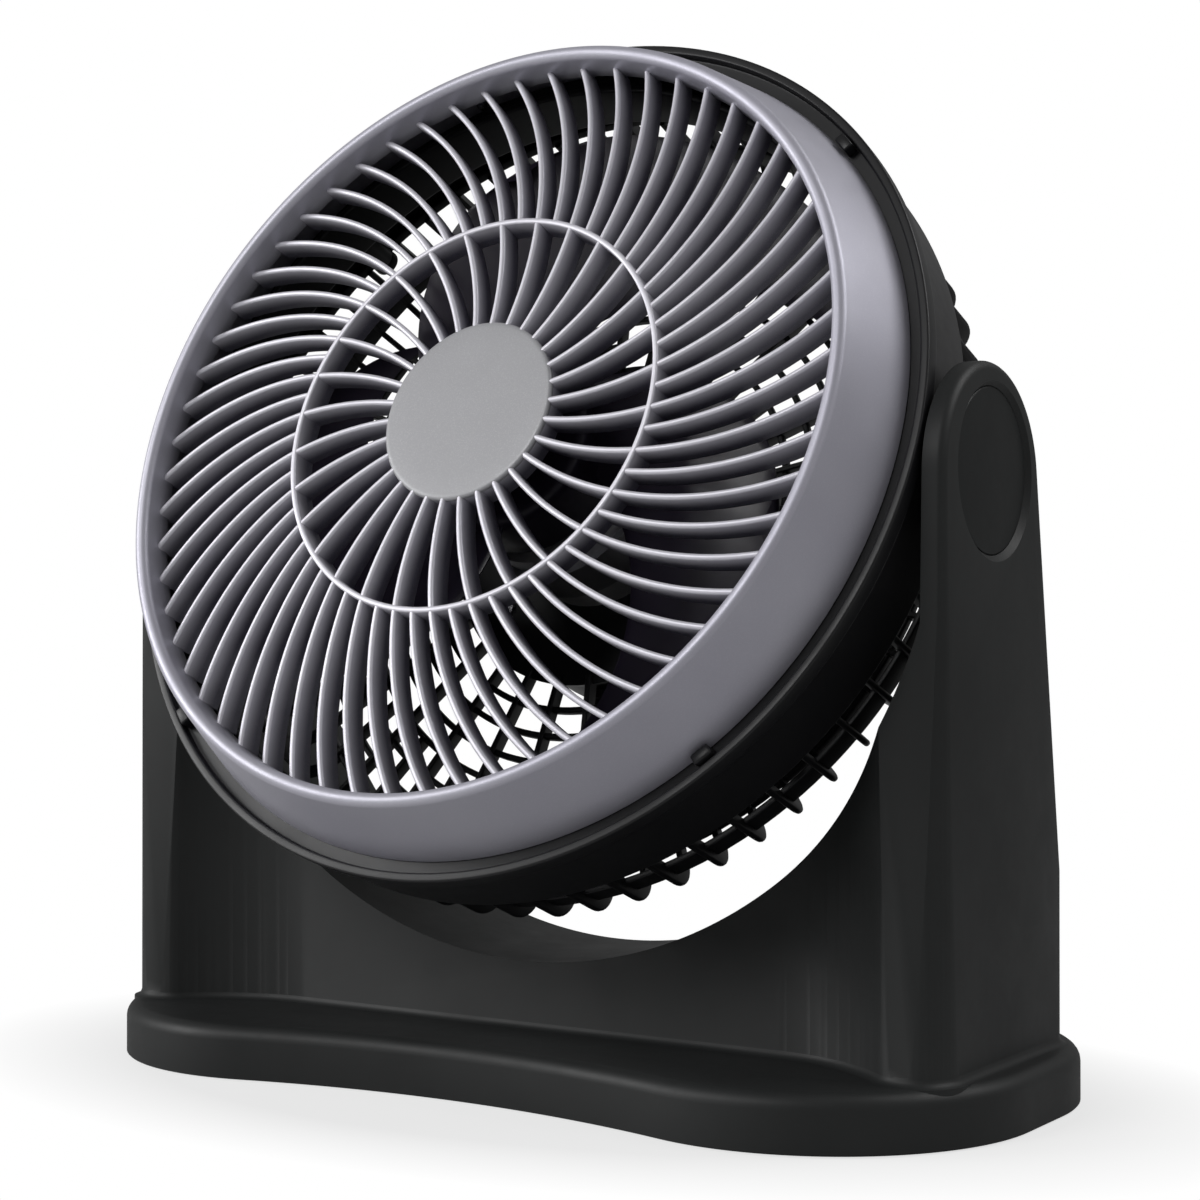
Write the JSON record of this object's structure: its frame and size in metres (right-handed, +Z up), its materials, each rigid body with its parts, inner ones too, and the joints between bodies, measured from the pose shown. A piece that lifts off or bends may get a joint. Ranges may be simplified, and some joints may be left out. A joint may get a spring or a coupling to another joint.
{
  "type": "tilting round air circulator fan",
  "caption": "Round air circulator with a swirl grille and three blades, tilting between the arms of a low forked stand on a waisted base.",
  "frame": {"origin": "centre of the stand's base on the floor plane", "axes": "+X to the right as seen from the front, +Y to the back, +Z up; the grille faces -Y, tilted up by 22 degrees at rest"},
  "size_m": [0.321, 0.1896, 0.3309],
  "materials": {
    "stand_plastic": "fine satin texture",
    "black_plastic": "satin",
    "silver_plastic": "silver satin",
    "blade_plastic": "dark tinted",
    "foot_rubber": "matte",
    "zinc_steel": "zinc plated",
    "nylon": "natural nylon",
    "cast_shield": "die cast",
    "core_steel": "stacked laminations",
    "copper": "enamelled copper wire",
    "bronze": "sintered",
    "switch_plastic": "moulded",
    "capacitor_case": "moulded"
  },
  "bodies": {
    "stand": {"stand_shell": "stand_plastic", "base_cover": "black_plastic", "rubber_feet": "foot_rubber", "base_screws": "zinc_steel", "left_pivot_cap": "stand_plastic", "right_pivot_cap": "stand_plastic"},
    "head": {"duct_housing": "black_plastic", "pivot_screws": "zinc_steel", "retaining_washers": "zinc_steel", "friction_washers": "nylon", "front_grille": "silver_plastic", "hub_disc": "silver_plastic", "grille_screws": "zinc_steel", "grille_clips": "black_plastic", "rear_guard": "black_plastic", "guard_screws": "zinc_steel", "front_end_shield": "cast_shield", "rear_end_shield": "cast_shield", "stator_core": "core_steel", "stator_windings": "copper", "front_bearing": "bronze", "rear_bearing": "bronze", "motor_bolts": "zinc_steel", "motor_cover": "black_plastic", "cover_screws": "zinc_steel", "speed_switch": "switch_plastic", "capacitor": "capacitor_case", "cord_gland": "foot_rubber"},
    "fan": {"impeller": "blade_plastic", "blade_nut": "black_plastic", "motor_shaft": "zinc_steel", "rotor_core": "core_steel"},
    "knob": {"speed_knob": "black_plastic"}
  },
  "joints": [
    {"name": "head_tilt", "type": "hinge", "parent": "stand", "child": "head", "pos_m": [0, -0.0098, 0.187], "axis": [-1, 0, 0], "range_deg": [-22, 68]},
    {"name": "fan_spin", "type": "hinge", "parent": "head", "child": "fan", "pos_m": [0, -0.0098, 0.187], "axis": [0, -0.9272, 0.3746], "continuous": true},
    {"name": "speed_turn", "type": "hinge", "parent": "head", "child": "knob", "pos_m": [0, 0.05325, 0.16153], "axis": [0, 0.9272, -0.3746], "range_deg": [0, 135]}
  ]
}
